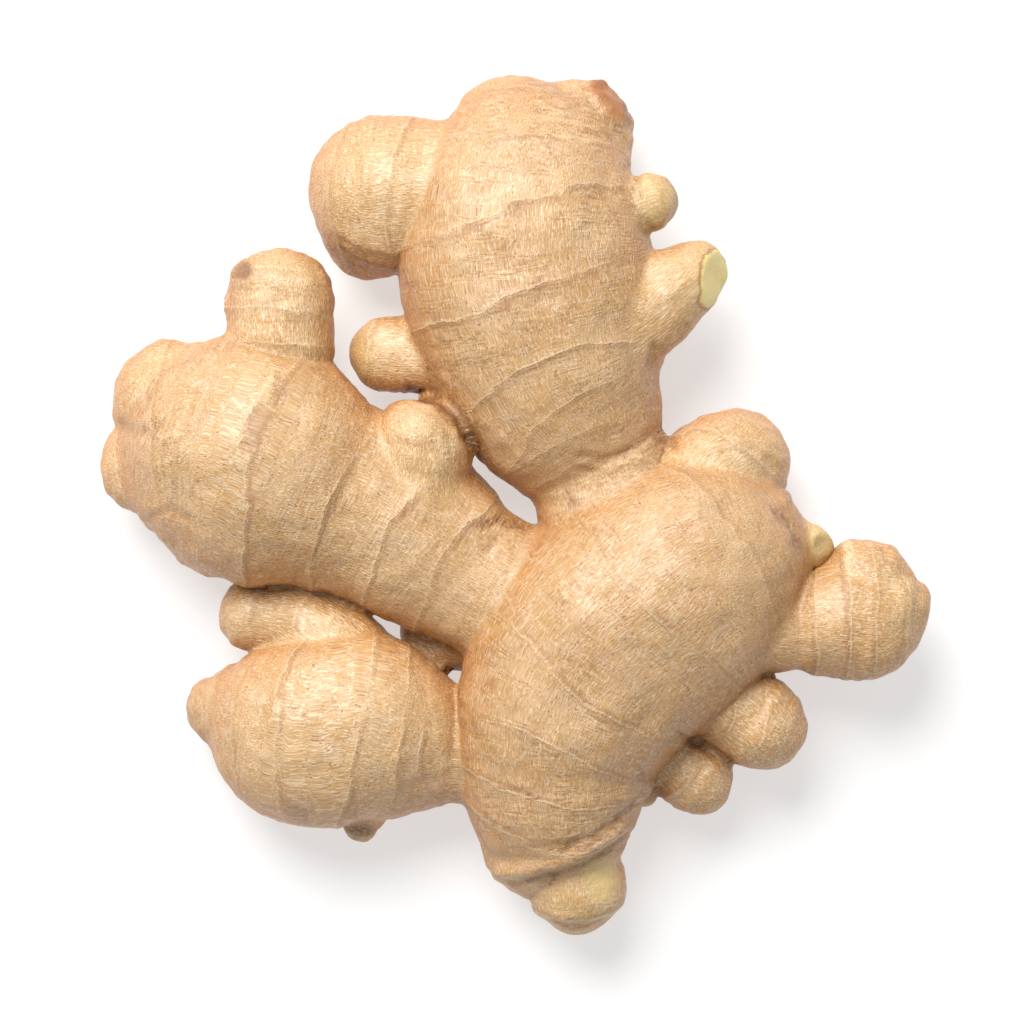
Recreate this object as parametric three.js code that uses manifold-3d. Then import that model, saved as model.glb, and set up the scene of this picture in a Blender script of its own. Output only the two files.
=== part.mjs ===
// A fresh ginger root: one hand of stubby fingers and knobs, grown as a single piece and lying flat.
// Millimetres, +Z up. X runs across the hand, Y from the growing tip up to the upper finger.
// The origin is under the middle of the hand, at the surface it lies on.
import * as THREE from "three";
import { mergeVertices } from "three/addons/utils/BufferGeometryUtils.js";
import Module from "manifold-3d";

// Overall sizes of the finished root.
const HAND_WIDTH = 146; // X
const HAND_LENGTH = 150; // Y
const HAND_THICKNESS = 36; // Z

// Radius of each limb at its thickest, seen from above.
const BODY_RADIUS = 21.3;
const TIP_RADIUS = 11;
const UPPER_FINGER_RADIUS = 21.2;
const UPPER_LOBE_RADIUS = 14;
const UPPER_KNOB_RADIUS = 9;
const UPPER_BUD_RADIUS = 6;
const HORN_RADIUS = 12;
const LEFT_FINGER_RADIUS = 20.8;
const LEFT_END_RADIUS = 13;
const LEFT_KNOB_RADIUS = 11;
const LEFT_BUMP_RADIUS = 9;
const LOWER_FINGER_RADIUS = 16.9;
const LOWER_LOBE_RADIUS = 9;
const LOWER_NUB_RADIUS = 4.5;
const HIDDEN_KNOB_RADIUS = 7;
const RIGHT_LOBE_RADIUS = 13.4;
const RIGHT_BUD_RADIUS = 9;
const RIGHT_FINGER_RADIUS = 10;
const FIRST_KNOB_RADIUS = 8.6;
const SECOND_KNOB_RADIUS = 7;
const SMALL_KNOB_RADIUS = 3.5;

// How far a limb's section is pressed flat: its height over its width.
const FINGER_FLATNESS = 0.82;
const KNOB_FLATNESS = 0.95;

// The broken-off end of the horn: how much of the rounded end is missing.
const HORN_BREAK_DEPTH = 3.4;
const HORN_BREAK_NORMAL = new THREE.Vector3(0.75, -0.2, 0.6).normalize();

// Mesh fineness: the size of a facet, and the fewest a thin limb may have.
const FACET = 6.4;
const FEWEST_AROUND = 10;
const FEWEST_CAP_ROWS = 3;

// The steepest a limb may taper, in radius for each length, before its skin would fold over.
const STEEPEST_TAPER = 0.85;

// Every limb: where its axis runs, with the share of the limb's own radius at each point.
// The first point lies inside the limb that it grew from.
const LIMBS = {
  body: {
    radius: BODY_RADIUS,
    flatness: FINGER_FLATNESS,
    axis: [
      [36.5, -9, 17, 0.671],
      [30.5, -12, 18, 0.892],
      [23, -18, 18.2, 1],
      [15, -26, 17.8, 0.967],
      [9.5, -35, 17, 0.873],
      [7, -45, 15.7, 0.761],
      [7, -53.5, 14.2, 0.615],
      [7.4, -57, 13, 0.46],
    ],
  },
  tip: {
    radius: TIP_RADIUS,
    flatness: KNOB_FLATNESS,
    axis: [
      [7.5, -56, 13.5, 0.955],
      [10.4, -63, 13, 0.755],
      [11.2, -66.7, 12.8, 0.782],
    ],
  },
  tip_collar: {
    radius: TIP_RADIUS,
    flatness: KNOB_FLATNESS,
    axis: [
      [7, -54, 13, 1.2],
      [5, -58.3, 12.4, 0.982],
    ],
  },
  upper_finger: {
    radius: UPPER_FINGER_RADIUS,
    flatness: FINGER_FLATNESS,
    axis: [
      [18.4, -3, 15.2, 0.613],
      [13.7, 10, 15.2, 0.599],
      [8, 19, 16, 0.821],
      [4.6, 29, 16.8, 0.925],
      [2.3, 39, 17.6, 1],
      [1.5, 49, 17.2, 0.948],
      [2.2, 56, 15.8, 0.802],
    ],
  },
  upper_flank: {
    radius: UPPER_FINGER_RADIUS,
    flatness: FINGER_FLATNESS,
    axis: [
      [1, 27, 15.4, 0.802],
      [4.5, 20.5, 15, 0.717],
    ],
  },
  upper_end_left: {
    radius: UPPER_FINGER_RADIUS,
    flatness: FINGER_FLATNESS,
    axis: [
      [1, 54, 15.8, 0.778],
      [-0.6, 63.8, 13.6, 0.524],
    ],
  },
  upper_end_right: {
    radius: UPPER_FINGER_RADIUS,
    flatness: FINGER_FLATNESS,
    axis: [
      [5, 52, 15.8, 0.778],
      [10.8, 64.2, 13.6, 0.5],
    ],
  },
  upper_lobe: {
    radius: UPPER_LOBE_RADIUS,
    flatness: KNOB_FLATNESS,
    axis: [
      [-4, 55, 14.5, 0.857],
      [-13, 54.6, 14, 0.9],
      [-22.4, 54.5, 13.6, 0.986],
    ],
  },
  upper_lobe_bulge: {
    radius: UPPER_LOBE_RADIUS,
    flatness: KNOB_FLATNESS,
    axis: [
      [-19, 52, 13.6, 0.7],
      [-25, 47.8, 12.2, 0.579],
    ],
  },
  upper_lobe_low: {
    radius: UPPER_LOBE_RADIUS,
    flatness: KNOB_FLATNESS,
    axis: [
      [-3, 37, 14.2, 0.857],
      [-11.8, 40.6, 13.5, 0.586],
    ],
  },
  upper_knob: {
    radius: UPPER_KNOB_RADIUS,
    flatness: KNOB_FLATNESS,
    axis: [
      [-4, 26, 13, 1],
      [-14, 26, 13, 0.833],
      [-22.2, 26, 12.6, 0.756],
    ],
  },
  upper_bud: {
    radius: UPPER_BUD_RADIUS,
    flatness: KNOB_FLATNESS,
    axis: [
      [16, 50, 20.5, 1],
      [23.6, 52.8, 20, 0.8],
    ],
  },
  horn: {
    radius: HORN_RADIUS,
    flatness: KNOB_FLATNESS,
    axis: [
      [14, 30, 18, 1],
      [22.4, 33.8, 19, 0.717],
      [27.2, 37.4, 19.5, 0.6],
      [31.5, 40.2, 20, 0.475],
    ],
  },
  left_finger: {
    radius: LEFT_FINGER_RADIUS,
    flatness: FINGER_FLATNESS,
    axis: [
      [1, -17, 15, 0.596],
      [-9, -11.2, 14.8, 0.591],
      [-17.3, -5.2, 14.8, 0.702],
      [-27, 0, 15, 0.76],
      [-37.4, 4, 16, 0.832],
      [-46, 8.1, 17, 1],
      [-53, 10, 15.5, 0.75],
    ],
  },
  left_end_upper: {
    radius: LEFT_END_RADIUS,
    flatness: KNOB_FLATNESS,
    axis: [
      [-50.5, 16, 15.5, 1.062],
      [-59.8, 18.5, 13.5, 0.831],
    ],
  },
  left_end_middle: {
    radius: LEFT_END_RADIUS,
    flatness: KNOB_FLATNESS,
    axis: [
      [-52, 8, 14.5, 1],
      [-63.6, 7.2, 12.5, 0.677],
    ],
  },
  left_end_lower: {
    radius: LEFT_END_RADIUS,
    flatness: KNOB_FLATNESS,
    axis: [
      [-44, 1, 14, 0.923],
      [-52.4, -3.6, 12.5, 0.692],
    ],
  },
  left_knob: {
    radius: LEFT_KNOB_RADIUS,
    flatness: KNOB_FLATNESS,
    axis: [
      [-40.5, 16, 16, 0.864],
      [-40.8, 27, 17, 0.882],
      [-41, 35.9, 17.5, 0.836],
    ],
  },
  left_bump: {
    radius: LEFT_BUMP_RADIUS,
    flatness: KNOB_FLATNESS,
    axis: [
      [-17, 1, 17, 0.956],
      [-15.8, 10.4, 19.5, 0.978],
    ],
  },
  lower_finger: {
    radius: LOWER_FINGER_RADIUS,
    flatness: FINGER_FLATNESS,
    axis: [
      [2, -41.8, 14, 0.58],
      [-6, -42.6, 13.6, 0.55],
      [-13, -42.4, 13.2, 0.562],
      [-20, -40.6, 13.2, 0.781],
      [-28, -38.8, 14.2, 0.97],
      [-36, -39.6, 14.4, 0.959],
      [-43.8, -37.4, 11.8, 0.609],
      [-51.4, -36.1, 10, 0.331],
    ],
  },
  lower_lobe: {
    radius: LOWER_LOBE_RADIUS,
    flatness: KNOB_FLATNESS,
    axis: [
      [-27, -32, 13, 0.889],
      [-31.6, -25.2, 12.8, 0.944],
      [-38, -20.9, 12, 0.8],
      [-45.4, -19.3, 10.8, 0.711],
    ],
  },
  lower_nub: {
    radius: LOWER_NUB_RADIUS,
    flatness: KNOB_FLATNESS,
    axis: [
      [-24.3, -49.5, 10.5, 1.111],
      [-27.2, -56.6, 9, 0.689],
    ],
  },
  hidden_knob: {
    radius: HIDDEN_KNOB_RADIUS,
    flatness: KNOB_FLATNESS,
    axis: [
      [-5, -20, 10, 1],
      [-14.8, -22.4, 7.5, 0.729],
    ],
  },
  right_lobe: {
    radius: RIGHT_LOBE_RADIUS,
    flatness: KNOB_FLATNESS,
    axis: [
      [28, -6, 16, 1],
      [34.5, 4, 14.5, 0.799],
      [38.8, 7.6, 13.5, 0.664],
    ],
  },
  right_bud: {
    radius: RIGHT_BUD_RADIUS,
    flatness: KNOB_FLATNESS,
    axis: [
      [40, -7.4, 16.5, 1],
      [47, -6.8, 16, 0.578],
      [51.2, -7.1, 16, 0.4],
    ],
  },
  right_finger: {
    radius: RIGHT_FINGER_RADIUS,
    flatness: KNOB_FLATNESS,
    axis: [
      [38, -19, 18, 1],
      [45, -20.9, 17, 0.8],
      [50, -21, 16.5, 0.73],
      [56.4, -20.5, 16.5, 0.92],
      [60.8, -20.8, 16.5, 0.95],
    ],
  },
  right_end_upper: {
    radius: RIGHT_FINGER_RADIUS,
    flatness: KNOB_FLATNESS,
    axis: [
      [58, -16.5, 16.5, 0.6],
      [61.9, -12.7, 16.5, 0.7],
    ],
  },
  right_end_outer: {
    radius: RIGHT_FINGER_RADIUS,
    flatness: KNOB_FLATNESS,
    axis: [
      [59, -19, 16.5, 0.85],
      [64.9, -17.8, 16.5, 0.76],
    ],
  },
  first_knob: {
    radius: FIRST_KNOB_RADIUS,
    flatness: KNOB_FLATNESS,
    axis: [
      [31, -30, 16, 0.93],
      [36, -34, 15.5, 0.837],
      [42.6, -38, 15, 0.988],
    ],
  },
  second_knob: {
    radius: SECOND_KNOB_RADIUS,
    flatness: KNOB_FLATNESS,
    axis: [
      [23, -40, 12.5, 1],
      [28.5, -45.2, 11.5, 0.829],
      [31.7, -47.4, 11, 1.014],
    ],
  },
  small_knob: {
    radius: SMALL_KNOB_RADIUS,
    flatness: KNOB_FLATNESS,
    axis: [
      [18, -48.5, 12.5, 1],
      [22.8, -50.7, 12, 0.629],
    ],
  },
};

const wasm = await Module();
wasm.setup();

// A closed geometry as a manifold solid.
function toSolid(geometry) {
  const bare = geometry.clone();
  bare.deleteAttribute("normal");
  bare.deleteAttribute("uv");
  const merged = mergeVertices(bare, 1e-4);
  const mesh = new wasm.Mesh({
    numProp: 3,
    vertProperties: merged.attributes.position.array,
    triVerts: new Uint32Array(merged.index.array),
  });
  return new wasm.Manifold(mesh);
}

// A manifold solid as a geometry that three.js can show.
function toGeometry(solid) {
  const mesh = solid.getMesh();
  const geometry = new THREE.BufferGeometry();
  geometry.setAttribute("position", new THREE.BufferAttribute(mesh.vertProperties, 3));
  geometry.setIndex(new THREE.BufferAttribute(mesh.triVerts, 1));
  return geometry;
}

// How fast the radius grows along the axis at t, held short of a cone that would fold over.
function growthAt(path, girth, t) {
  const step = 0.02;
  const from = Math.max(0, t - step);
  const to = Math.min(1, t + step);
  const run = path.getPoint(to).distanceTo(path.getPoint(from));
  const rise = girth.getPoint(to).x - girth.getPoint(from).x;
  return THREE.MathUtils.clamp(rise / run, -STEEPEST_TAPER, STEEPEST_TAPER);
}

// Where a row of the ball lands: t along the axis, and the angle from forward on the sphere there.
function rowPlace(row, rows, capRows, growth) {
  if (row < capRows) {
    const widest = Math.acos(growth(0));
    return { t: 0, fromForward: Math.PI - (row / capRows) * widest };
  }
  if (row > rows - capRows) {
    const widest = Math.acos(-growth(1));
    return { t: 1, fromForward: ((rows - row) / capRows) * widest };
  }
  const t = (row - capRows) / (rows - 2 * capRows);
  return { t, fromForward: Math.acos(-growth(t)) };
}

// One limb: a ball drawn out along its axis, so that it touches every sphere that the axis carries,
// pressed flat by the limb's flatness.
function growLimb({ radius, flatness, axis }) {
  const path = new THREE.CatmullRomCurve3(axis.map(([x, y, z]) => new THREE.Vector3(x, y, z)));
  const girth = new THREE.CatmullRomCurve3(
    axis.map(([, , , share], i) => new THREE.Vector3(share * radius, i * radius, 0)),
  );
  const growth = (t) => growthAt(path, girth, t);
  const around = Math.max(FEWEST_AROUND, Math.round((2 * Math.PI * radius) / FACET));
  const capRows = Math.max(FEWEST_CAP_ROWS, Math.round((Math.PI * radius) / 2 / FACET));
  const rows = 2 * capRows + Math.ceil(path.getLength() / FACET);
  const geometry = new THREE.SphereGeometry(1, around, rows);
  const position = geometry.attributes.position;
  const upright = new THREE.Vector3(0, 0, 1);
  for (let i = 0; i < position.count; i++) {
    const row = Math.floor(i / (around + 1));
    const angle = ((i % (around + 1)) / around) * 2 * Math.PI;
    const { t, fromForward } = rowPlace(row, rows, capRows, growth);
    const forward = path.getTangent(t);
    const side = forward.clone().cross(upright).normalize();
    const above = side.clone().cross(forward);
    const r = girth.getPoint(t).x;
    const out = r * Math.sin(fromForward);
    const point = path.getPoint(t);
    point.addScaledVector(forward, r * Math.cos(fromForward));
    point.addScaledVector(side, out * Math.cos(angle));
    point.addScaledVector(above, out * flatness * Math.sin(angle));
    position.setXYZ(i, point.x, point.y, point.z);
  }
  return geometry;
}

// The block that takes away the broken end of the horn.
function hornBreak() {
  const [x, y, z, share] = LIMBS.horn.axis.at(-1);
  const endRadius = share * HORN_RADIUS;
  const block = new THREE.BoxGeometry(4 * endRadius, 4 * endRadius, 2 * endRadius);
  const turn = new THREE.Quaternion().setFromUnitVectors(new THREE.Vector3(0, 0, 1), HORN_BREAK_NORMAL);
  const away = 2 * endRadius - HORN_BREAK_DEPTH;
  const middle = new THREE.Vector3(x, y, z).addScaledVector(HORN_BREAK_NORMAL, away);
  block.applyQuaternion(turn);
  block.translate(middle.x, middle.y, middle.z);
  return block;
}

// All limbs joined, and the horn broken.
function growHand() {
  const solids = Object.values(LIMBS).map((limb) => toSolid(growLimb(limb)));
  const joined = solids.slice(1).reduce((hand, limb) => hand.add(limb), solids[0]);
  return toGeometry(joined.subtract(toSolid(hornBreak())));
}

// Brings the hand to its overall sizes, centred over the origin and lying on the surface.
function layDown(geometry) {
  geometry.computeBoundingBox();
  const size = geometry.boundingBox.getSize(new THREE.Vector3());
  const middle = geometry.boundingBox.getCenter(new THREE.Vector3());
  geometry.translate(-middle.x, -middle.y, -geometry.boundingBox.min.z);
  geometry.scale(HAND_WIDTH / size.x, HAND_LENGTH / size.y, HAND_THICKNESS / size.z);
  return geometry;
}

const skin = new THREE.MeshStandardMaterial({ color: 0xd9b587, roughness: 0.72, metalness: 0 });
const root = new THREE.Mesh(layDown(growHand()), skin);
root.name = "ginger_root";

const group = new THREE.Group();
group.add(root);

export default group;
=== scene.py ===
# A fresh ginger root, lying flat on a pale surface.
# The grown surface, its skin, rings, buds and scars are made here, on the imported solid.
import bpy
import numpy as np
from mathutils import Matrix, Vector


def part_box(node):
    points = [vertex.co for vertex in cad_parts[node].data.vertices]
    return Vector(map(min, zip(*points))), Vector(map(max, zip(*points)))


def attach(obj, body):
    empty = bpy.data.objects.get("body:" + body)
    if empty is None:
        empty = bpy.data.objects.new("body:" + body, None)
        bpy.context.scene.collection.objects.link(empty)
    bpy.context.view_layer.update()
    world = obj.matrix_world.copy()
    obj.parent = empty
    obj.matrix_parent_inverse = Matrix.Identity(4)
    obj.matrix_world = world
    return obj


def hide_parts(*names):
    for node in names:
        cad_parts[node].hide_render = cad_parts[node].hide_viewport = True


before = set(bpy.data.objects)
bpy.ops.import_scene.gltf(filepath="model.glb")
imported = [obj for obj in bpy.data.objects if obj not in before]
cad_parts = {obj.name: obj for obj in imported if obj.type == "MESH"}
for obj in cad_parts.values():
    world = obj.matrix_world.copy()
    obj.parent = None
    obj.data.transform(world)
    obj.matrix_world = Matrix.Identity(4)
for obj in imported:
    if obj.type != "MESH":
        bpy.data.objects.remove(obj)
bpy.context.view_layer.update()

MM = 0.001

# The box that the places below were measured in, in millimetres. Every place below is a place in that box.
HAND_BOX = np.array([146.0, 150.0, 36.0])

# Voxel sizes in millimetres: the first rough skin, then the fine one.
ROUGH_VOXEL = 0.7
FINE_VOXEL = 0.73

# How softly limbs of one parent meet, and over how far the fibres of two limbs fade into each other,
# in millimetres.
SIBLING_SOFTNESS = 1.1
FIBRE_FADE = 1.1

# A distance in millimetres that is farther than any skin is looked for.
FAR = 40.0

# The studio in metres: a wide floor, a round lamp to the upper left, and a camera straight above.
FLOOR_SIDE = 6
LAMP_SIZE = 1.0
LAMP_PLACE = (-0.36, 0.8, 1.08)
CAMERA_PLACE = (-0.00044, -0.00122, 1.215)
CAMERA_LENS = 241.3

# Every limb: the limb it grew from, how flat its section is, how softly it joins (mm),
# and its axis as (x, y, z, radius) in millimetres.
LIMBS = {
    "body": ("", 0.84, 0, [
        (36.5, -9, 17, 14.3), (30.5, -12, 18, 19), (23, -18, 18.2, 21.3), (15, -26, 17.8, 20.6),
        (9.5, -35, 17, 18.6), (7, -45, 15.7, 16.2), (7, -53.5, 14.2, 13.1), (7.4, -57, 13, 9.8)]),
    "tip": ("body", 0.95, 1.2, [(7.5, -56, 13.5, 10.5), (10.4, -63, 13, 8.3), (11.2, -66.7, 12.8, 8.6)]),
    "tip_collar": ("body", 0.95, 1.5, [(7, -54, 13, 13.2), (5, -58.3, 12.4, 10.8)]),
    "upper": ("body", 0.82, 3, [
        (18.4, -3, 15.2, 13), (13.8, 10, 15.2, 12.1), (8, 19, 16, 17), (4.6, 29, 16.8, 19.6),
        (2.3, 39, 17.6, 21.2), (1.5, 49, 17.2, 20.1), (2.2, 56, 15.8, 17)]),
    "upper_flank": ("upper", 0.82, 2, [(1, 27, 15.4, 17), (4.5, 20.5, 15, 15.2)]),
    "upper_end_left": ("upper", 0.82, 2, [(1, 54, 15.8, 16.5), (-0.6, 63.8, 13.6, 11.1)]),
    "upper_end_right": ("upper", 0.82, 2, [(5, 52, 15.8, 16.5), (10.6, 64.2, 13.6, 10.3)]),
    "upper_lobe": ("upper", 0.95, 2, [(-4, 55, 14.5, 12), (-13, 54.6, 14, 12.6), (-22.4, 54.5, 13.6, 13.6)]),
    "upper_lobe_bulge": ("upper_lobe", 0.95, 2, [(-19, 52, 13.6, 9.8), (-25, 47.8, 12.2, 8.1)]),
    "upper_lobe_low": ("upper", 0.95, 3, [(-3, 37, 14.2, 12), (-11.8, 40.6, 13.5, 8.2)]),
    "upper_knob": ("upper", 0.95, 3, [(-4, 26, 13, 9), (-14, 26.1, 13, 7.5), (-22.1, 26.3, 12.6, 6.6)]),
    "upper_bud": ("upper", 0.95, 1.5, [(16, 50, 20.5, 6), (23.6, 52.8, 20, 4.8)]),
    "horn": ("upper", 0.95, 3, [(14, 30, 18, 12), (22.4, 33.8, 19, 8.6), (27.2, 37.4, 19.5, 7.2),
        (31.5, 40.2, 20, 5.7)]),
    "left": ("body", 0.8, 3, [
        (1, -17, 15, 12.4), (-9, -11.2, 14.8, 12.3), (-17.3, -5.2, 14.8, 14.6), (-27, 0, 15, 15.8),
        (-37.4, 4, 16, 17.3), (-46, 8.1, 17, 20.8), (-53, 10, 15.5, 15.6)]),
    "left_end_upper": ("left", 0.92, 3, [(-50.5, 16, 15.5, 13.8), (-59.8, 18.5, 13.5, 10.8)]),
    "left_end_middle": ("left", 0.92, 1, [(-52, 8, 14.5, 13), (-63.6, 7.2, 12.5, 8.8)]),
    "left_end_lower": ("left", 0.92, 1, [(-44, 1, 14, 12), (-52.4, -3.6, 12.5, 9)]),
    "left_knob": ("left", 0.95, 2, [(-40.5, 16, 16, 9), (-40.8, 27, 17, 9.4), (-40.9, 35.8, 17.5, 9.1)]),
    "left_bump": ("left", 0.98, 2, [(-17, 1, 17, 8.6), (-15.8, 10.4, 19.5, 8.8)]),
    "lower": ("body", 0.85, 2, [
        (2, -41.8, 14, 9.8), (-6, -42.6, 13.6, 9.3), (-13, -42.4, 13.2, 9.5), (-20, -40.6, 13.2, 13.2),
        (-28, -38.8, 14.2, 16.4), (-36, -39.6, 14.4, 15.9), (-43.8, -37.4, 11.8, 10.3),
        (-51.4, -36.1, 10, 5.6)]),
    "lower_lobe": ("lower", 0.92, 2, [(-27, -32, 13, 8), (-31.6, -25.2, 12.8, 8.5), (-38, -20.9, 12, 7.2),
        (-45.4, -19.3, 10.8, 6.4)]),
    "lower_nub": ("lower", 0.95, 1.5, [(-24.3, -49.5, 10.5, 5), (-27.2, -56.6, 9, 3.1)]),
    "hidden_knob": ("body", 0.95, 2, [(-5, -22, 10, 7), (-10.5, -24.4, 8.5, 5.2), (-15.2, -22.4, 7.5, 4.9)]),
    "right_lobe": ("body", 0.92, 1.5, [(28, -6, 16, 13.4), (34.5, 4, 14.5, 10.7), (38.8, 7.6, 13.5, 8.9)]),
    "right_bud": ("body", 0.95, 1.5, [(40, -7.4, 16.5, 9), (47, -6.8, 16, 5.2), (51.2, -7.1, 16, 3.6)]),
    "right": ("body", 0.92, 2, [(38, -19, 18, 10), (45, -20.9, 17, 8), (50, -21, 16.5, 7.3),
        (56.4, -20.5, 16.5, 9.2), (60.8, -20.8, 16.5, 9.5)]),
    "right_end_upper": ("right", 0.92, 1, [(58, -16.5, 16.5, 6), (61.9, -12.7, 16.5, 7)]),
    "right_end_outer": ("right", 0.92, 1, [(59, -19, 16.5, 8.5), (64.9, -17.8, 16.5, 7.6)]),
    "first_knob": ("body", 0.95, 1.5, [(31, -30, 16, 8), (36, -34, 15.5, 7.2), (42.6, -38, 15, 8.5)]),
    "second_knob": ("body", 0.95, 1.2, [
        (23, -40, 12.5, 7), (28.5, -45.2, 11.5, 5.8), (31.7, -47.4, 11, 7.1)]),
    "small_knob": ("body", 0.95, 1, [(18, -48.5, 12.5, 3.5), (22.8, -50.7, 12, 2.2)]),
}

# Limbs that carry the rings and fibres of the limb they end.
CARRIED_BY = {
    "tip_collar": "body", "upper_flank": "upper", "upper_end_left": "upper", "upper_end_right": "upper",
    "upper_lobe_low": "upper", "upper_lobe_bulge": "upper_lobe", "left_end_upper": "left",
    "left_end_middle": "left", "left_end_lower": "left",
    "right_end_upper": "right", "right_end_outer": "right",
}

# Growth rings: three places along each, seen from above, and how strongly it stands.
RINGS = {
    "upper": [
        ((-5, 71.5), (4, 71), (14, 70), 0.4), ((-13, 60), (2, 61), (20, 60.5), 0.6),
        ((-14, 45.5), (1, 50), (20, 53.5), 0.9), ((-9, 34), (2, 38), (22, 43), 0.8),
        ((-8, 16), (5, 27), (25, 29), 0.8), ((1, 10), (8, 18.5), (18, 23.5), 0.45),
        ((4, 9.5), (14, 14.6), (25, 17), 0.4), ((4, 3), (12, 7.6), (26, 11.5), 0.3)],
    "upper_lobe": [((-29, 66), (-32, 56), (-31, 46), 0.3), ((-19, 66), (-22, 52), (-20, 41), 0.5)],
    "upper_knob": [((-25, 31), (-26, 26), (-25, 20), 0.5), ((-19, 32.5), (-19.5, 26), (-19, 19), 0.5)],
    "upper_bud": [((22, 58), (22.5, 53), (22, 48), 0.4)],
    "horn": [((25, 44), (27, 38.5), (30, 33), 0.4)],
    "left": [
        ((-69, 21), (-69.5, 10), (-67, 0), 0.25), ((-60, 27), (-60, 8), (-58.5, -8), 0.35),
        ((-36, 27), (-46, 8), (-48, -12), 0.8), ((-27, 11), (-34, 0), (-36, -12), 0.9),
        ((-9, 6.5), (-20, -1), (-26, -15), 0.8), ((-5, -1), (-10, -6), (-16.5, -19), 0.6)],
    "left_knob": [((-49, 40), (-41, 41.5), (-33, 40), 0.6), ((-50, 34), (-41, 34.5), (-32, 33), 0.4),
        ((-49, 29), (-41, 28.5), (-32, 28), 0.5)],
    "lower": [
        ((-52, -31), (-53, -36), (-52, -41), 0.4), ((-45.5, -29), (-47, -38), (-46, -49), 0.5),
        ((-35.5, -26), (-38, -40), (-38.5, -54), 0.8), ((-26, -26), (-28.5, -38), (-30, -52), 0.6),
        ((-20, -30), (-21, -40), (-21.5, -53), 0.6), ((-15, -33), (-16, -43), (-15, -51), 0.4)],
    "lower_lobe": [((-44, -14), (-46, -19), (-45, -24), 0.4), ((-36, -15), (-38, -21), (-37, -27), 0.4)],
    "body": [
        ((-9.5, -33), (7, -40), (24, -48), 0.75), ((-8, -45), (7, -49.5), (17, -50.5), 0.6),
        ((-6, -53), (7, -56.5), (20, -53), 0.6), ((0, -19), (10, -31), (28, -41), 0.6),
        ((12, -4), (27, -22), (38, -31), 0.4), ((25, 6), (39, -10), (46, -26), 0.5)],
    "tip": [((3, -68.5), (10, -69.5), (18, -68), 0.4), ((5, -71.5), (11, -72), (17, -71), 0.6)],
    "right_lobe": [((30, 13), (38, 9.5), (46, 4), 0.4)],
    "right": [
        ((53, -13), (52.5, -21), (53, -29), 0.5), ((58, -7), (58.5, -19), (58, -30), 0.7),
        ((62, -6), (63, -18), (62, -30), 0.5), ((67, -9), (68.5, -18), (67, -28), 0.5)],
    "first_knob": [((37, -32), (38, -36), (34, -40), 0.5), ((43, -30.5), (43.5, -38), (38, -45), 0.4)],
    "second_knob": [((31, -41.5), (30, -47), (26.5, -51), 0.5)],
}

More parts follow.
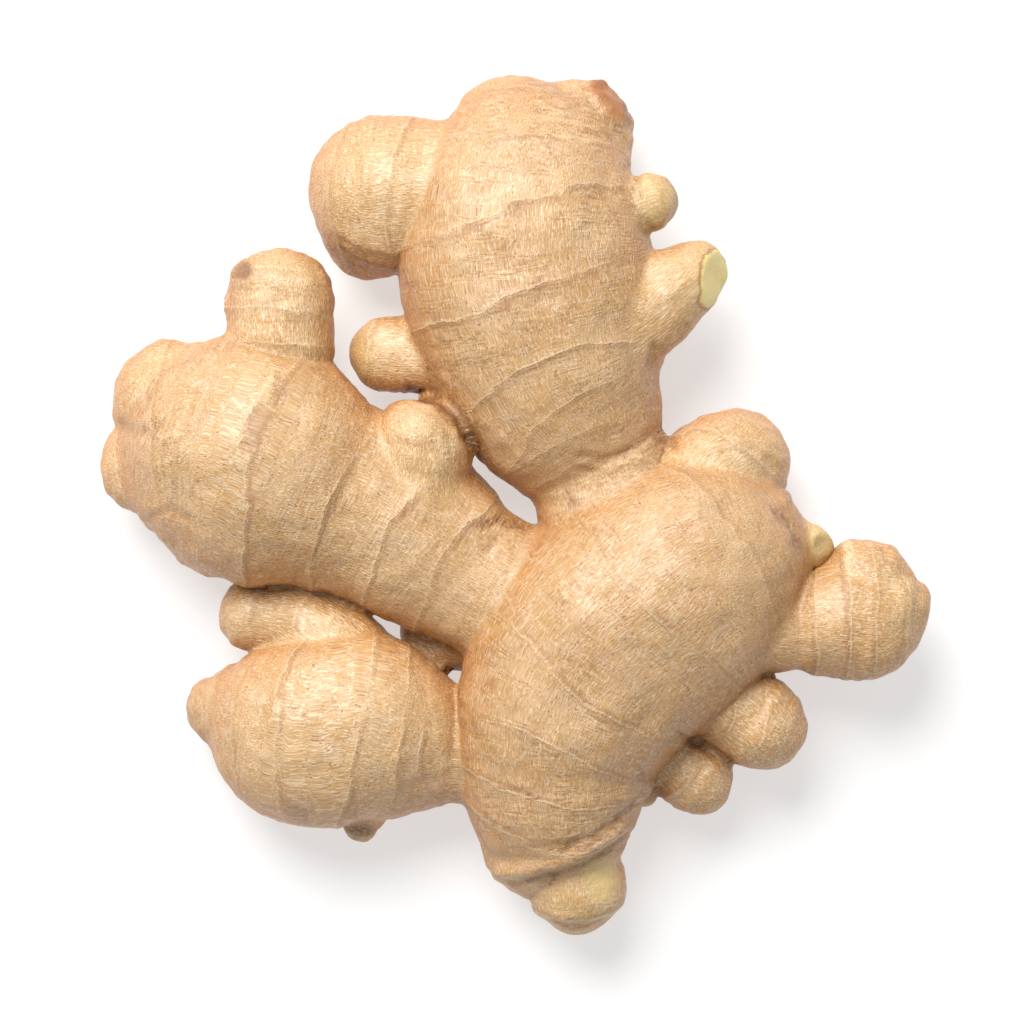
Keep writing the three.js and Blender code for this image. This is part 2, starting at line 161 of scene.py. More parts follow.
# Lips (above 0) and grooves (below 0) on the upper side: points seen from above, half width and
# height in millimetres, and how brown.
FOLDS = [
    # the roll behind the growing tip
    ([(-2.5, -64.2), (2.7, -63.2), (7, -62), (11.5, -60.3), (16, -57.8), (19.6, -55.6)], 1.0, 1.0, 0.1),
    ([(0, -66.3), (3.2, -65.2), (8, -63.8), (12.3, -62), (17, -59.4), (20, -57.2)], 0.5, -0.5, 0.6),
    ([(9.1, -58.6), (13.5, -57), (17.3, -55), (20.5, -51.6)], 0.6, -0.4, 0.9),
    # rim of the husk
    ([(13.4, 74), (16.3, 73.2), (18.4, 70.8), (20, 67.5)], 0.45, 0.3, 0.9),
    # upper bud
    ([(26.6, 56.4), (28.2, 54.4), (28, 51.8), (26.6, 49.2)], 0.6, -0.25, 0.8),
    ([(20.6, 55.5), (21.4, 53.3), (22, 50.5)], 0.4, 0.3, 0.3),
    ([(25, 53), (26.4, 51.6), (26.2, 49.8), (24.8, 48.4)], 0.7, 0.25, 0.5),
    ([(22, 50.4), (23.6, 48.2), (25.4, 47.6)], 0.6, -0.3, 0.8),
    # seam of the left bump and the upper knob
    ([(-18.4, 20.2), (-13.6, 18.9), (-10, 16.2), (-8.2, 13), (-6.8, 10)], 0.6, -0.7, 1.0),
    # eye of the tip
    ([(4.6, -70.4), (8.2, -71.8), (13, -71.9), (17, -70.2)], 0.45, 0.35, 0.35),
    ([(6.8, -72.6), (9.4, -73.6), (12.8, -73.6), (15.4, -72.4)], 0.4, -0.35, 0.6),
    # lower nub
    ([(-25.5, -57), (-29, -57.6)], 1.6, 0.01, 0.9),
    # right lobe
    ([(31.6, 12), (37.7, 14.3), (44.5, 13)], 0.6, 0.3, 0.2),
    ([(33, 8.7), (40, 10.6), (46.4, 7.6)], 0.6, 0.3, 0.3),
    # foot of the upper finger
    ([(2.4, 1.2), (9.2, 1.6), (11.5, 1)], 0.5, 0.35, 0.5),
    ([(9, 2.2), (9.5, 0.2)], 0.5, -0.4, 1.0),
    ([(11.5, 8.4), (15, 7.9), (19.7, 9.1), (24.9, 13.1)], 0.5, -0.4, 0.5),
    ([(12, 6.8), (16, 6), (22, 8)], 0.5, 0.3, 0.2),
    # between the left and upper fingers
    ([(-6, -3.8), (-3.1, -2.8), (-0.3, -3.4), (1.8, -3.6)], 0.7, -0.5, 1.0),
    ([(-2.5, -5.6), (-5, -8)], 0.5, -0.3, 0.6),
    # left bump
    ([(-20, 19.6), (-14.2, 17.8), (-9.5, 13.6), (-7.4, 10.1)], 0.6, -0.5, 1.0),
    ([(-14.8, 15.4), (-12.5, 12.6), (-11.3, 9.3)], 0.5, 0.3, 0.4),
    ([(-17.7, 16.6), (-15.3, 13.6), (-14.4, 10.8)], 0.5, 0.25, 0.2),
    ([(-22.5, 15.5), (-20, 17.6), (-17, 18.4)], 0.5, 0.3, 0.4),
    # second knob
    ([(29, -40), (33, -42.6), (37.5, -44.5)], 0.7, -0.4, 0.9),
    # upper lobe
    ([(-30.2, 45.5), (-25.3, 42.4), (-20.4, 41.3)], 0.5, 0.3, 0.7),
    ([(-31.4, 48.1), (-26.1, 44.9), (-20, 44)], 0.5, 0.3, 0.4),
    # feet of the buds
    ([(21.3, 57), (20.6, 52), (22.4, 47.4)], 0.8, -0.3, 0.8),
    ([(45.5, -1), (48.5, -4.5), (49.5, -8)], 0.9, -0.4, 0.9),
    # right lobe, side and foot
    ([(47.5, 3.6), (47, 0)], 0.7, 0.4, 0.7),
    # small knob
    ([(21.5, -46.5), (24, -49.5)], 0.9, 0.5, 0.8),
    # foot of the horn, then of the right lobe
    ([(24.5, 27.5), (23.6, 24)], 0.8, -0.3, 0.8),
    ([(26, 13.5), (25, 11), (27.5, 10.8)], 0.8, -0.4, 0.9),
    # end of the left finger
    ([(-68.5, 13.5), (-65, 12.5), (-61, 13.5)], 1.2, -0.5, 0.4),
    ([(-65, 14.5), (-60, 11), (-57, 11.5)], 0.6, 0.3, 0.3),
    ([(-63.5, -2.5), (-60, -1), (-57, -2.5)], 0.9, -0.4, 0.4),
    # foot of the left knob
    ([(-48.5, 28.5), (-43, 26.4), (-37, 25.4), (-31.6, 25.2)], 0.7, -0.4, 0.5),
    # husk, inner side
    ([(12.4, 72.8), (13.4, 69.8), (15.4, 67.2), (19, 64.4)], 0.5, -0.4, 0.6),
    ([(9.5, 71.8), (14.5, 67.8), (16, 64)], 0.5, 0.3, 0.3),
    # right finger
    ([(51, -13), (49.5, -18), (50, -24)], 0.8, -0.3, 0.3),
    ([(64, -8), (66.5, -11.5), (70.5, -13)], 0.7, -0.4, 0.4),
    ([(60, -9), (64, -12.5), (66, -12)], 0.6, 0.3, 0.3),
    # foot of the lower finger
    ([(-16, -22.5), (-12, -25), (-10, -29)], 0.9, -0.3, 0.5),
    ([(-10.3, -33), (-10.5, -42), (-9.8, -51)], 0.8, -0.3, 0.4),
]

# The broken end of the horn, where the pale flesh shows: a flat cut past the end of its axis.
BREAK_NORMAL = np.array([0.86, -0.12, 0.5]) / np.linalg.norm([0.86, -0.12, 0.5])
BREAK_DEPTH = 3.7
BREAK_PLACE = np.array([31.5, 40.2, 20]) + BREAK_NORMAL * BREAK_DEPTH
BREAK_REACH = 9

# The torn husk at the end of the upper finger, and the tight seam between the left bump and the upper knob,
# whose line is painted dark as shade.
HUSK = [(14.8, 72.6), (16.4, 69.8), (18.8, 66.8)]
TIGHT_SEAM = [(-18.4, 19.8), (-13.6, 18.2), (-10, 15.2), (-8, 11.6)]

# Young yellow skin: a patch on the tip, then limb, direction (0 is X, 1 is Y), where it starts, over how
# many millimetres it comes in, and how much.
YOUNG_PATCH = (15, -65, 18)
YOUNG_SKIN = [
    ("upper_bud", 0, 20.5, 1.5, 0.4), ("tip", 1, -64, -3, 0.15), ("horn", 0, 30, 4, 0.45),
    ("right_bud", 0, 49.5, 2, 0.8), ("upper_knob", 0, -23, -4, 0.4),
]

# Small round scars and eyes: place, radius in millimetres, and how dark.
SCARS = [
    (-46.3, 40, 21, 2.1, 1.4), (11.2, -73, 14, 1.2, 1.4), (53, -6.8, 18, 1.6, 1.2),
    (-49.5, 34.8, 16, 1.2, 0.8), (-14, 60, 24, 0.7, 0.7), (-30, 62, 20, 0.8, 0.5),
    (45, -41, 20, 1.0, 0.6), (12, 4.5, 31, 0.8, 0.8), (43, 9, 22, 0.9, 0.6),
    (-12, -8, 28, 0.7, 0.8), (24.5, -40, 27, 0.8, 0.7), (-55, -36, 12, 1.0, 0.7), (64, -20, 23, 0.8, 0.5),
    (10, 30, 0, 1.8, 0.8), (-4, 44, 0, 1.5, 0.8), (-40, 2, 0, 1.8, 0.8), (-52, 12, 2, 1.4, 0.8),
    (-34, -42, 0, 1.7, 0.8), (-24, -36, 2, 1.3, 0.7), (20, -20, 0, 1.9, 0.9), (8, -40, 1, 1.6, 0.8),
    (30, -8, 1, 1.4, 0.8), (60, -20, 8, 1.3, 0.7), (-22, 52, 1, 1.6, 0.8), (14, -30, 0, 1.3, 0.8),
]


# ---------------------------------------------------------------- shape

def smooth_axis(points, steps):
    """The axis drawn as a smooth curve through its points, as rows of x, y, z, radius."""
    points = np.array(points, float)
    if len(points) == 2:
        return points
    ends = np.vstack([2 * points[0] - points[1], points, 2 * points[-1] - points[-2]])
    drawn = []
    for before, start, end, after in zip(ends, ends[1:], ends[2:], ends[3:]):
        for t in np.arange(steps) / steps:
            drawn.append(0.5 * (2 * start + (end - before) * t
                + (2 * before - 5 * start + 4 * end - after) * t ** 2
                + (3 * start - before - 3 * end + after) * t ** 3))
    return np.array(drawn + [points[-1]])


AXES = {name: smooth_axis(limb[3], 4) for name, limb in LIMBS.items()}


def limb_depth(places, name):
    """Distance from each place to the limb's skin, in millimetres: minus inside."""
    axis, flat = AXES[name], LIMBS[name][1]
    depth = np.full(len(places), FAR)
    reach = axis[:, 3].max() + 12
    near = np.all((places > axis[:, :3].min(0) - reach) & (places < axis[:, :3].max(0) + reach), axis=1)
    spot = places[near] / (1, 1, flat)
    best = np.full(len(spot), FAR)
    for start, end in zip(axis, axis[1:]):
        a, along = start[:3] / (1, 1, flat), (end[:3] - start[:3]) / (1, 1, flat)
        t = np.clip((spot - a) @ along / (along @ along), 0, 1)
        away = np.linalg.norm(spot - a - t[:, None] * along, axis=1)
        best = np.minimum(best, away - start[3] - t * (end[3] - start[3]))
    depth[near] = best
    return depth


def soft_join(one, other, softness):
    """Two depths joined, with a hollow of that softness where they meet."""
    mix = np.clip(0.5 + 0.5 * (other - one) / softness, 0, 1)
    return other * (1 - mix) + one * mix - softness * mix * (1 - mix)


def family_depth(name, depths):
    """A limb with all that grew from it. Two limbs on one parent stay apart from each other."""
    whole = depths[name]
    for child, limb in LIMBS.items():
        if limb[0] == name:
            joined = soft_join(depths[name], family_depth(child, depths), limb[2])
            whole = soft_join(whole, joined, SIBLING_SOFTNESS)
    return whole


def root_depth(places):
    """Distance from each place to the skin of the whole root."""
    whole = family_depth("body", {name: limb_depth(places, name) for name in LIMBS})
    broken = (places - BREAK_PLACE) @ BREAK_NORMAL
    near_horn = np.linalg.norm(places - BREAK_PLACE, axis=1) < BREAK_REACH
    return np.where(near_horn, -soft_join(-whole, -broken, 0.5), whole)


def slope(places, depth):
    """Which way the depth grows fastest, and how fast, at each place."""
    step = 0.05
    return np.stack([(root_depth(places + step * side) - depth) / step for side in np.eye(3)], axis=1)


def settle(places, rounds):
    """Moves each place onto the skin of the whole root."""
    for _ in range(rounds):
        depth = root_depth(places)
        rise = slope(places, depth)
        push = np.clip(depth / np.maximum((rise ** 2).sum(1), 0.15), -1.5, 1.5)
        places = places - push[:, None] * rise
    return places


def lumps(places, size, seed):
    """Smooth random lumps of that size in millimetres, from -1 to 1."""
    spot = places / size + 37.3 * seed
    cell = np.floor(spot).astype(np.int64)
    part = spot - cell
    part = part ** 3 * (part * (6 * part - 15) + 10)
    total = 0
    for corner in np.ndindex(2, 2, 2):
        mixed = (cell + corner) @ np.array([73856093, 19349663, 83492791])
        mixed = (mixed ^ (mixed >> 13)) * 1274126177 & 0x7FFFFFFF
        mixed = (mixed ^ (mixed >> 15)) * 668265263 & 0x7FFFFFFF
        share = np.prod(np.where(corner, part, 1 - part), axis=1)
        total = total + share * ((mixed >> 8) % 4096 / 2048.0 - 1)
    return total


# ---------------------------------------------------------------- growth: rings, fibres and marks

def along_limb(places, name):
    """How far along the limb's axis each place is, how far to its side and above it, and the limb's
    radius there, all in millimetres."""
    axis = AXES[name]
    lengths = np.linalg.norm(np.diff(axis[:, :3], axis=0), axis=1)
    starts = np.concatenate([[0], np.cumsum(lengths)])
    best = np.full(len(places), 1e9)
    found = np.zeros((4, len(places)))
    last = len(lengths) - 1
    for i, (start, end) in enumerate(zip(axis, axis[1:])):
        heading = (end[:3] - start[:3]) / lengths[i]
        side = np.cross(heading, (0, 0, 1))
        side /= np.linalg.norm(side)
        ahead = (places - start[:3]) @ heading
        held = np.clip(ahead, 0, lengths[i])
        offset = places - start[:3] - held[:, None] * heading
        away = (offset ** 2).sum(1)
        closer = away < best
        loose = np.where((i == 0) & (ahead < 0) | (i == last) & (ahead > lengths[i]), ahead, held)
        best[closer] = away[closer]
        radius = start[3] + held / lengths[i] * (end[3] - start[3])
        above = offset @ np.cross(side, heading)
        for row, values in enumerate((starts[i] + loose, offset @ side, above, radius)):
            found[row, closer] = values[closer]
    return found


def ring_lines(name):
    """Each ring of a limb as a curve: how far along the axis it crosses, for each distance to the side."""
    lines = []
    for *marks, strength in RINGS.get(name, []):
        level = AXES[name][:, 2].mean()
        spots = np.array([(x, y, level) for x, y in marks], float)
        run, beside, _, _ = along_limb(spots, name)
        lines.append((np.polyfit(beside, run, 2), strength))
    return lines


def shares(places):
    """How much of each place belongs to each limb that has fibres of its own, and how deep the place
    lies in the hollow between limbs, in millimetres."""
    depths = {name: limb_depth(places, name) for name in LIMBS}
    nearest = np.min(list(depths.values()), axis=0)
    owned = {}
    for name, depth in depths.items():
        holder = CARRIED_BY.get(name, name)
        owned[holder] = owned.get(holder, 0) + np.exp(-(depth - nearest) / FIBRE_FADE)
    total = sum(owned.values())
    return {name: share / total for name, share in owned.items()}, nearest


def lines_near(places, points):
    """Distance from each place to the line through the points, seen from above."""
    best = np.full(len(places), 1e9)
    for start, end in zip(np.array(points, float), np.array(points[1:], float)):
        along = end - start
        t = np.clip((places[:, :2] - start) @ along / (along @ along), 0, 1)
        best = np.minimum(best, np.linalg.norm(places[:, :2] - start - t[:, None] * along, axis=1))
    return best


def touching(places):
    """Where limbs that did not grow from each other lie against each other: 1 in the seam."""
    depths = {name: limb_depth(places, name) for name in LIMBS}
    nearest = np.min(list(depths.values()), axis=0)
    seam = np.zeros(len(places))
    for name, depth in depths.items():
        kin = {name, LIMBS[name][0], CARRIED_BY.get(name, name)}
        others = [other for other in LIMBS if other not in kin and LIMBS[other][0] != name
            and CARRIED_BY.get(other, other) not in kin]
        gap = np.min([depths[other] for other in others], axis=0) - depth
        seam = np.where(depth <= nearest, np.exp(-np.maximum(gap, 0) / 0.45), seam)
    return seam


def grow_along_limbs(places, owned):
    """The ribs, rings and wrinkles that follow each limb, and each place straightened along each limb."""
    relief, wrinkled, ring_near, ring_gap = np.zeros((4, len(places)))
    straightened = {}
    wander = 0.6 * lumps(places, 7, 1) + 0.3 * lumps(places, 2.2, 2)
    for name, share in owned.items():
        run, beside, above, radius = along_limb(places, name)
        girth = AXES[name][:, 3].mean() / radius
        straightened[name] = np.stack([beside * girth, above * girth, run + 60 * len(straightened)], axis=1)
        relief += 0.1 * share * lumps(straightened[name] * (1, 1, 0.3), 2.0, 9)
        length = np.linalg.norm(np.diff(AXES[name][:, :3], axis=0), axis=1).sum()
        ending = np.exp(-np.maximum(length - run, 0) / 6)
        wrinkled += share * 0.3 * ending
        relief += share * (0.07 + 0.16 * ending) * lumps(straightened[name] * (0.2, 0.2, 1), 1.5, 12)
        for (bow, tilt, start), strength in ring_lines(name):
            gap = run - (start + tilt * beside + bow * np.clip(beside, -24, 24) ** 2) + wander
            power = strength * share * (0.8 + 0.7 * lumps(places, 9, 3))
            rising = np.exp(-np.maximum(-gap, 0) / 3.0)
            falling = np.exp(-np.maximum(gap, 0) / 1.2)
            relief += 0.6 * power * rising * falling
            near = np.exp(-(gap / 1.6) ** 2) * np.clip(power * 1.6, 0, 1)
            stronger = near > ring_near
            ring_near[stronger] = near[stronger]
            ring_gap[stronger] = gap[stronger]
    return relief, wrinkled, ring_near, ring_gap, straightened


def grow_folds(places, upper_side):
    """The relief of the lips and grooves, and how brown they make each place."""
    relief, fold = np.zeros((2, len(places)))
    shaken = 0.35 * lumps(places, 2.4, 13) + 0.15 * lumps(places, 1.2, 14)
    for points, width, height, brown in FOLDS:
        away = np.abs(lines_near(places, points) + shaken) / width
        relief += height * upper_side * np.exp(-away ** 2)
        fold = np.maximum(fold, brown * upper_side * np.exp(-(away / 1.1) ** 2))
    return relief, fold


def grow_scars(places):
    """The relief of the scars, each a raised rim round a pit, and how dark they make each place."""
    relief, scar = np.zeros((2, len(places)))
    for x, y, z, radius, dark in SCARS:
        spread = np.linalg.norm((places - (x, y, z)) * (1, 1, 0.5), axis=1) / radius
        relief += 0.3 * radius * (np.exp(-((spread - 1) / 0.35) ** 2) - 0.8 * np.exp(-(spread / 0.6) ** 2))
        scar = np.maximum(scar, dark * np.exp(-(spread / 0.9) ** 4))
    return relief, scar


def bare_parts(places, owned, upper_side):
    """Where the skin is young and yellow, where the flesh shows at the break, and where the husk is."""
    bud = np.exp(-(np.linalg.norm((places - YOUNG_PATCH) * (0.9, 0.7, 0.4), axis=1) / 3) ** 4)
    for name, direction, start, over, most in YOUNG_SKIN:
        bud = np.maximum(bud, most * owned[name] * np.clip((places[:, direction] - start) / over, 0, 1))
    past_break = (places - BREAK_PLACE) @ BREAK_NORMAL + 0.3 * lumps(places, 1.8, 21)
    flesh = np.clip(1.7 + past_break / 0.35, 0, 1)
    flesh *= np.linalg.norm(places - BREAK_PLACE, axis=1) < BREAK_REACH
    husk = upper_side * np.exp(-(lines_near(places, HUSK) / 2) ** 4)
    husk *= np.clip((places[:, 1] - 64.5) / 4, 0.3, 1)
    return bud, flesh, husk


def grow(places, normals):
    """The relief of the skin and what its finish reads, for each place."""
    owned, hollow = shares(places)
    upper_side = np.clip((places[:, 2] - 8) / 3, 0, 1)
    relief, wrinkled, ring_near, ring_gap, straightened = grow_along_limbs(places, owned)
    relief += 0.6 * lumps(places, 14, 4) + 0.35 * lumps(places, 6.5, 5) + 0.13 * lumps(places, 2.6, 6)
    # side: how far the skin turns from facing up; it carries fine lumps, and the finish paints shade with it
    # down the sides
    side = np.clip(1 - normals[:, 2], 0, 1)
    relief += 0.14 * side * lumps(places, 1.5, 15)

    # Painted shade on skin that another limb shelters, and knobs that are browner all over.
    shelter = np.clip(1 - root_depth(places + 5 * normals) / 5, 0, 1)
    shelter = np.maximum(shelter, 0.9 * owned["hidden_knob"])
    small, larger = owned["first_knob"] + owned["second_knob"], owned["left_knob"] + owned["right"]
    shelter = np.maximum(shelter, 0.45 * small + 0.3 * larger)

    # Seams where limbs lie against each other, painted dark brown as shade in the finish.
    tight = upper_side * np.exp(-(lines_near(places, TIGHT_SEAM) / 0.7) ** 2)
    seam = np.maximum(touching(places), tight)
    # crease: how deep the skin lies in a hollow or seam; it sinks the skin there, and the finish paints it
    # darker as shade
    crease = np.clip(hollow / 1.4 + seam, 0, 1)
    relief -= 0.3 * crease * (0.5 + 0.5 * lumps(places, 3, 7))
    fold_relief, fold = grow_folds(places, upper_side)
    scar_relief, scar = grow_scars(places)
    relief += fold_relief + scar_relief
    wrinkled = np.clip(wrinkled + 0.8 * crease + 0.8 * fold, 0, 1)
    wrinkled *= np.clip(0.6 + 0.9 * lumps(places, 4, 16), 0, 1)
    bud, flesh, husk = bare_parts(places, owned, upper_side)
    relief += 0.9 * husk * (0.7 + 0.7 * lumps(places, 1.6, 8)) - 0.25 * flesh * relief
    return relief, owned, straightened, {
        "ring": np.stack([ring_gap * ring_near, ring_near, wrinkled], axis=1),
        "marks": np.stack([bud, flesh, husk], axis=1),
        "hollows": np.stack([crease, scar, fold], axis=1),
        # lie: where shade is painted in, on the sides, in the seams and on sheltered skin and the knobs
        "lie": np.stack([side, seam, shelter], axis=1),
    }


# ---------------------------------------------------------------- mesh

def pick(piece):
    """Selects the piece alone."""
    bpy.ops.object.select_all(action="DESELECT")
    piece.select_set(True)
    bpy.context.view_layer.objects.active = piece


def read(mesh, what):
    """What each vertex holds under that name, as rows of three."""
    flat = np.empty(len(mesh.vertices) * 3)
    mesh.vertices.foreach_get(what, flat)
    return flat.reshape(-1, 3)


def write_places(mesh, places):
    """Moves the vertices to these places."""
    mesh.vertices.foreach_set("co", places.reshape(-1))
    mesh.update()


def voxel_skin(piece, size):
    """Replaces the piece's faces with an even closed skin."""
    pick(piece)
    skin = piece.modifiers.new("even skin", "REMESH")
    skin.mode = "VOXEL"
    skin.voxel_size = size * MM
    bpy.ops.object.modifier_apply(modifier=skin.name)


def lay_fibres(mesh, owned, straightened):
    """Gives each face the straightened places of the two limbs that own most of it, and their shares,
    so that the fibres run along each limb and fade into those of the next."""
    names = list(owned)
    shares_of = np.stack([owned[name] for name in names])
    spots = np.stack([straightened[name] for name in names])
    corners = np.empty(len(mesh.loops), np.int64)
    mesh.loops.foreach_get("vertex_index", corners)
    starts = np.empty(len(mesh.polygons), np.int64)
    mesh.polygons.foreach_get("loop_start", starts)
    face_shares = np.add.reduceat(shares_of[:, corners], starts, axis=1)
    order = np.argsort(-face_shares, axis=0)
    sizes = np.diff(np.append(starts, len(corners)))
    first, second = np.repeat(order[0], sizes), np.repeat(order[1], sizes)
    one, other = shares_of[first, corners], shares_of[second, corners]
    weight = np.clip(one / (one + other), 0, 1)
    for name, values in (("fibres_one", spots[first, corners]), ("fibres_other", spots[second, corners]),
            ("fibre_share", np.stack([weight] * 3, axis=1))):
        stored = mesh.attributes.new(name, "FLOAT_VECTOR", "CORNER")
        stored.data.foreach_set("vector", values.reshape(-1))


def grow_root():
    """The grown root, made from a copy of the solid."""
    low, high = (np.array(corner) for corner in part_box("ginger_root"))
    middle = np.array([(low[0] + high[0]) / 2, (low[1] + high[1]) / 2, low[2]])
    per_mm = (high - low) / HAND_BOX
    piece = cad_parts["ginger_root"].copy()
    piece.data = piece.data.copy()
    piece.name = "grown_ginger_root"
    piece.parent = None
    bpy.context.collection.objects.link(piece)
    pick(piece)
    bpy.ops.object.mode_set(mode="EDIT")
    bpy.ops.mesh.select_all(action="SELECT")
    bpy.ops.mesh.remove_doubles(threshold=0.00001)
    bpy.ops.object.mode_set(mode="OBJECT")
    for size, rounds in ((ROUGH_VOXEL, 6), (FINE_VOXEL, 3)):
        voxel_skin(piece, size)
        places = settle((read(piece.data, "co") - middle) / per_mm, rounds)
        write_places(piece.data, places * per_mm + middle)
    normals = read(piece.data, "normal")
    relief, owned, straightened, finish = grow(places, normals)
    places = places + relief[:, None] * normals
    places[:, 2] = np.maximum(places[:, 2], 0)
    write_places(piece.data, places * per_mm + middle)
    for name, values in finish.items():
        stored = piece.data.attributes.new(name, "FLOAT_VECTOR", "POINT")
        stored.data.foreach_set("vector", values.reshape(-1))
    lay_fibres(piece.data, owned, straightened)
    bpy.ops.object.shade_smooth()
    return piece


# ---------------------------------------------------------------- finish

def linear(code):
    """An sRGB hex colour as linear red, green, blue, alpha."""
    parts = [int(code[i:i + 2], 16) / 255 for i in (0, 2, 4)]
    return [p / 12.92 if p <= 0.04045 else ((p + 0.055) / 1.055) ** 2.4 for p in parts] + [1.0]


def put(tree, kind, sockets=None, **settings):
    """Adds a node with its settings, and sets or links its sockets."""
    node = tree.nodes.new(kind)
    for name, value in settings.items():
        setattr(node, name, value)
    for name, value in (sockets or {}).items():
        if isinstance(value, bpy.types.NodeSocket):
            tree.links.new(value, node.inputs[name])
        else:
            node.inputs[name].default_value = value
    return node


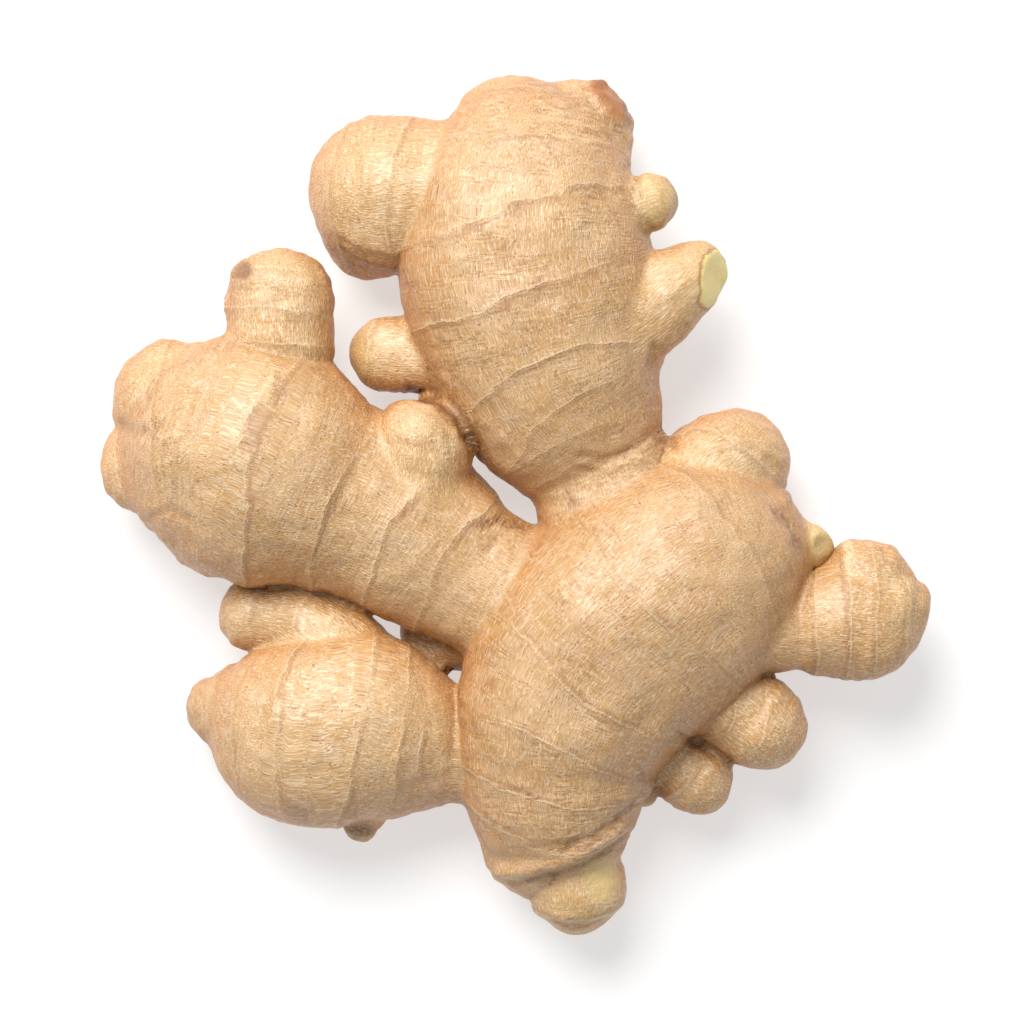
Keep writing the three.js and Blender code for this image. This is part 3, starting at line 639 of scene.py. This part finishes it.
def ginger_skin():
    """Dry ginger skin: a thin papery cork over pale flesh, grown in fine fibres along each finger.
    It shows as a matt tan with silky flecks where the fibres catch the light, with shade painted in: darker
    in the hollows and seams and browner down the sides."""
    material = bpy.data.materials.new("dry ginger skin, grown")
    material.use_nodes = True
    tree = material.node_tree
    shader = tree.nodes["Principled BSDF"]
    where = put(tree, "ShaderNodeTexCoord").outputs["Object"]
    stored, part = {}, {}
    for name in ("ring", "marks", "hollows", "lie", "fibre_share", "fibres_one", "fibres_other"):
        stored[name] = put(tree, "ShaderNodeAttribute", attribute_name=name).outputs["Vector"]
        part[name] = put(tree, "ShaderNodeSeparateXYZ", {0: stored[name]}).outputs

    # Clouds of colour about 11 mm, 4.5 mm and 0.9 mm across.
    patches, stains, grains = (put(tree, "ShaderNodeTexNoise", {"Vector": where, "Scale": 1 / (size * MM),
        "Detail": 3.5, "Roughness": 0.65}).outputs["Fac"] for size in (11, 4.5, 0.9))
    # Fibre bundles 0.4 mm wide and 3 mm long, single fibres 0.2 mm wide, and pits between them, which all
    # run along each limb. Wrinkles 0.55 mm wide run across it.
    sway = put(tree, "ShaderNodeTexNoise", {"Vector": where, "Scale": 1 / (5 * MM),
        "Detail": 1.0}).outputs["Color"]
    mostly_one = put(tree, "ShaderNodeMapRange", {"Value": part["fibre_share"][0], "From Min": 0.35,
        "From Max": 0.65}).outputs["Result"]
    grown = []
    for width, length, start in ((0.4, 3.0, 3.0), (0.2, 1.2, 11.0), (0.2, 0.5, 23.0), (2.4, 0.55, 31.0)):
        looks = []
        for name in ("fibres_one", "fibres_other"):
            swayed = put(tree, "ShaderNodeVectorMath", {0: sway, 1: (1.1, 1.1, 1.1), 2: stored[name]},
                operation="MULTIPLY_ADD").outputs[0]
            drawn = put(tree, "ShaderNodeMapping", {"Vector": swayed, "Location": (start, start, start),
                "Scale": (1 / width, 1 / width, 1 / length)}).outputs[0]
            looks.append(put(tree, "ShaderNodeTexNoise", {"Vector": drawn, "Scale": 1.0,
                "Detail": 1.5}).outputs["Fac"])
        grown.append(put(tree, "ShaderNodeMix", {0: mostly_one, 2: looks[1], 3: looks[0]},
            data_type="FLOAT").outputs[0])
    bundles, threads, pits, wrinkles = grown

    # Distance from the nearest ring in millimetres, shaken by the grain so that its lip looks torn.
    gap = put(tree, "ShaderNodeMath", {0: part["ring"][1], 1: 0.02}, operation="MAXIMUM").outputs[0]
    gap = put(tree, "ShaderNodeMath", {0: part["ring"][0], 1: gap}, operation="DIVIDE").outputs[0]
    shaken = put(tree, "ShaderNodeMath", {0: grains, 1: 1.1, 2: gap}, operation="MULTIPLY_ADD").outputs[0]
    on_lip = put(tree, "ShaderNodeMath", {0: shaken, 1: 0.55, 2: 0.0}, operation="SUBTRACT").outputs[0]
    on_lip = put(tree, "ShaderNodeMath", {0: on_lip}, operation="ABSOLUTE").outputs[0]
    lip_shadow = put(tree, "ShaderNodeMath", {0: shaken, 1: 0.2}, operation="ADD").outputs[0]
    lip_shadow = put(tree, "ShaderNodeMath", {0: lip_shadow}, operation="ABSOLUTE").outputs[0]
    torn = put(tree, "ShaderNodeMath", {0: stains, 1: part["ring"][1]}, operation="MULTIPLY").outputs[0]

    wrinkles = put(tree, "ShaderNodeMath", {0: wrinkles, 1: 0.5}, operation="SUBTRACT").outputs[0]
    wrinkles = put(tree, "ShaderNodeMath", {0: wrinkles, 1: part["ring"][2]}, operation="MULTIPLY").outputs[0]
    grit = put(tree, "ShaderNodeMapRange", {"Value": grains, "From Min": 0.68,
        "From Max": 0.36}).outputs["Result"]

    # Each layer: what it follows, where it starts and is full, how much, what holds it back, and its colour.
    colour = put(tree, "ShaderNodeRGB").outputs[0]
    colour.default_value = linear("c1975f")
    layers = [
        (patches, 0.35, 0.65, 1.0, None, "d2ad7c"),  # paler tan where the skin is rubbed
        (stains, 0.5, 0.75, 0.5, None, "e6d0b0"),
        (part["lie"][0], 0.15, 0.75, 0.8, None, "c87e2a"),  # painted shade: warmer and browner round the sides, more where the skin turns further from facing up
        (part["lie"][2], 0.15, 0.8, 0.6, None, "a9701f"),  # painted shade where another limb shelters the skin, and the knobs browner all over
        # brown stains, held to the sides so that they also paint shade there
        (stains, 0.5, 0.3, 0.45, part["lie"][0], "8f5c2e"),
        (wrinkles, -0.01, -0.12, 0.5, None, "925c2c"),
        (wrinkles, 0.02, 0.12, 0.4, None, "e6cda4"),
        (bundles, 0.48, 0.3, 0.35, None, "a8743c"),  # brown between the fibres, buff along them
        (threads, 0.5, 0.68, 0.6, None, "f0dec0"),
        (pits, 0.4, 0.28, 1.6, stains, "8a552a"),  # short brown pits that lie with the fibres
        (grains, 0.31, 0.24, 0.9, patches, "6f4321"),  # specks under half a millimetre
        (lip_shadow, 0.6, 0.1, 1.0, torn, "8f5b2d"),  # a painted shadow: a brown line under each pale torn lip
        (on_lip, 0.28, 0.04, 0.85, torn, "e8cfa8"),
        (part["hollows"][0], 0.1, 1.0, 0.8, stains, "96602f"),  # painted shade, broken up by the stains: darker brown in the creases
        # painted shade: dark brown in the seams where limbs lie against each other
        (part["lie"][1], 0.4, 1.0, 0.8, None, "6b3f1e"),
        (part["hollows"][2], 0.05, 0.9, 0.9, grit, "8a5a30"),
        (part["hollows"][1], 0.1, 1.0, 0.75, None, "7a4d28"),
        (part["marks"][0], 0.0, 1.0, 0.7, None, "d6bd7c"),  # buds and the broken end show yellow flesh
        (part["marks"][1], 0.0, 0.3, 0.7, None, "a46a35"),
        (part["marks"][1], 0.5, 1.0, 0.9, None, "f0dc8e"),
        (part["marks"][2], 0.2, 0.8, 1.5, patches, "9a5510"),  # the torn husk is orange brown
    ]
    for follows, start, full, most, held, tone in layers:
        share = put(tree, "ShaderNodeMapRange", {"Value": follows, "From Min": start, "From Max": full,
            "To Max": most}).outputs["Result"]
        if held is not None:
            share = put(tree, "ShaderNodeMath", {0: share, 1: held}, operation="MULTIPLY").outputs[0]
        colour = put(tree, "ShaderNodeMix", {0: share, 6: colour, 7: linear(tone)},
            data_type="RGBA").outputs[2]
    tree.links.new(colour, shader.inputs["Base Color"])

    # Relief finer than the mesh, in millimetres.
    lip = put(tree, "ShaderNodeMapRange", {"Value": on_lip, "From Min": 0.3,
        "From Max": 0.05}).outputs["Result"]
    lip = put(tree, "ShaderNodeMath", {0: lip, 1: torn}, operation="MULTIPLY").outputs[0]
    height = 0.0
    for follows, rise in ((lip, 0.2), (bundles, 0.1), (threads, 0.11), (pits, 0.09), (grains, 0.06),
            (wrinkles, 0.5)):
        height = put(tree, "ShaderNodeMath", {0: follows, 1: rise, 2: height},
            operation="MULTIPLY_ADD").outputs[0]
    bump = put(tree, "ShaderNodeBump", {"Strength": 1.0, "Distance": MM, "Height": height}).outputs[0]
    tree.links.new(bump, shader.inputs["Normal"])
    rough = put(tree, "ShaderNodeMapRange", {"Value": threads, "From Min": 0.3, "From Max": 0.7,
        "To Min": 0.6, "To Max": 0.4}).outputs["Result"]
    tree.links.new(rough, shader.inputs["Roughness"])
    shader.inputs["IOR"].default_value = 1.6
    # The dry skin is faintly waxy, which pales it where it faces the light.
    shader.inputs["Coat Weight"].default_value = 0.35
    shader.inputs["Coat Roughness"].default_value = 0.45
    return material


def plain_floor():
    """A white floor, lit a little from within so that it stays pale in the shade."""
    bpy.ops.object.select_all(action="DESELECT")
    bpy.ops.mesh.primitive_plane_add(size=FLOOR_SIDE, location=(0, 0, 0))
    floor = bpy.context.active_object
    floor.name = "pale_floor"
    material = bpy.data.materials.new("matt white paper, rolled")
    material.use_nodes = True
    shader = material.node_tree.nodes["Principled BSDF"]
    shader.inputs["Base Color"].default_value = linear("b4b4b4")
    shader.inputs["Roughness"].default_value = 0.9
    shader.inputs["Emission Color"].default_value = (1, 1, 1, 1)
    shader.inputs["Emission Strength"].default_value = 0.55
    floor.data.materials.append(material)


def studio():
    """Soft light from the upper left, a pale surround, and a camera straight above."""
    world = bpy.data.worlds.new("pale surround")
    bpy.context.scene.world = world
    world.use_nodes = True
    world.node_tree.nodes["Background"].inputs["Color"].default_value = (0.96, 0.98, 1.0, 1)
    world.node_tree.nodes["Background"].inputs["Strength"].default_value = 0.41
    light = bpy.data.lights.new("soft window", "AREA")
    light.shape = "DISK"
    light.size = LAMP_SIZE
    light.energy = 29.5
    light.color = (1.0, 0.985, 0.96)
    lamp = bpy.data.objects.new("soft window", light)
    lamp.location = LAMP_PLACE
    lamp.rotation_euler = (-lamp.location).to_track_quat("-Z", "Y").to_euler()
    bpy.context.collection.objects.link(lamp)
    camera = bpy.data.objects.new("camera", bpy.data.cameras.new("camera"))
    camera.data.lens = CAMERA_LENS
    camera.data.clip_end = 20
    camera.location = CAMERA_PLACE
    bpy.context.collection.objects.link(camera)
    bpy.context.scene.camera = camera
    bpy.context.scene.view_settings.view_transform = "Standard"


root = grow_root()
root.data.materials.clear()
root.data.materials.append(ginger_skin())
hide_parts("ginger_root")
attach(root, "root")
plain_floor()
studio()
